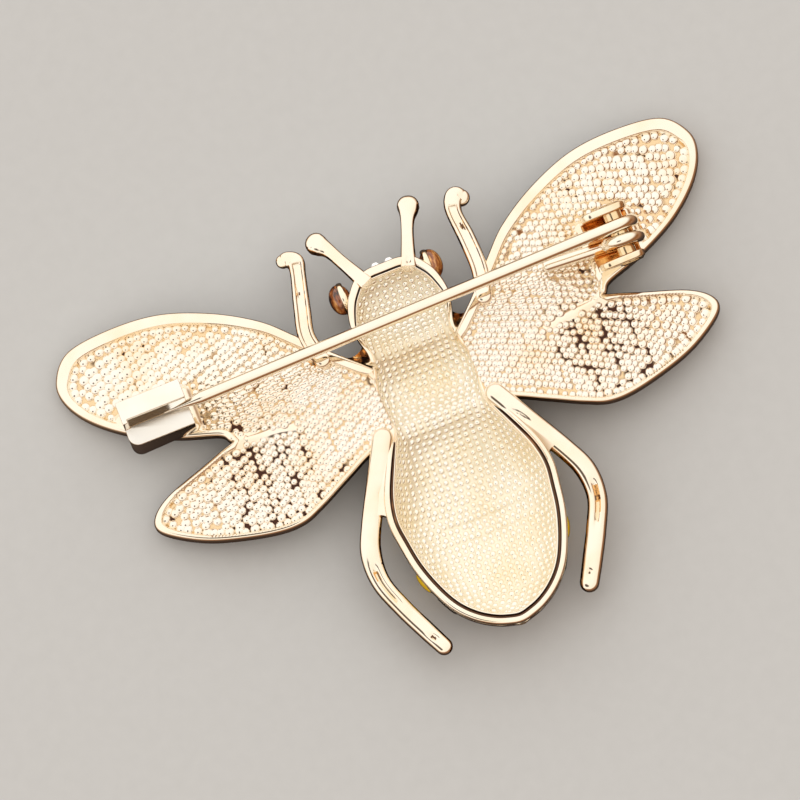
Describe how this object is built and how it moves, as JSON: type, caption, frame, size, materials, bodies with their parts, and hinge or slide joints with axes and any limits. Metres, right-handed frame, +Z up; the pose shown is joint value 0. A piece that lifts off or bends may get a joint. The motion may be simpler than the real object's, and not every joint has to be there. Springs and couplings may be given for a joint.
{
  "type": "insect brooch",
  "caption": "Bee-shaped brooch cast as an open-backed shell with four rimmed wings, enamel bands and bead eyes; a sprung pin swings out of a folded catch on its back",
  "frame": {"origin": "centre of the footprint, on the floor the brooch lies on", "axes": "+X to the right across the wings as the back is seen, +Y from the abdomen towards the head, +Z up out of the back"},
  "size_m": [0.0526, 0.0347, 0.0074],
  "materials": {
    "casting": "zinc alloy casting, plated in a polished pale gold, with a pebbled back",
    "enamel_black": "glossy black enamel",
    "enamel_yellow": "glossy yellow enamel",
    "eyes": "polished amber-brown bead",
    "brow_stones": "clear cut stone with a foiled back",
    "catch_sheet": "folded sheet, plated in pale gold",
    "bracket": "folded sheet, plated in pale gold",
    "rivet": "turned rivet, plated gold",
    "wire": "spring steel wire, plated in pale gold, smooth"
  },
  "bodies": {
    "brooch": {"bee_casting": "casting", "enamel_band_1": "enamel_black", "enamel_band_2": "enamel_yellow", "enamel_band_3": "enamel_black", "enamel_band_4": "enamel_yellow", "enamel_band_5": "enamel_black", "eye_left": "eyes", "eye_right": "eyes", "brow_stone_left": "brow_stones", "brow_stone_right": "brow_stones", "catch": "catch_sheet", "hinge_bracket": "bracket", "hinge_rivet": "rivet", "spring_tail": "wire"},
    "pin": {"pin_stem": "wire"}
  },
  "joints": [
    {"name": "pin_swing", "type": "hinge", "parent": "brooch", "child": "pin", "pos_m": [0.0179, 0.00769, 0.00555], "axis": [-0.0145, 0.978, 0.2079], "range_deg": [0, 100]}
  ]
}
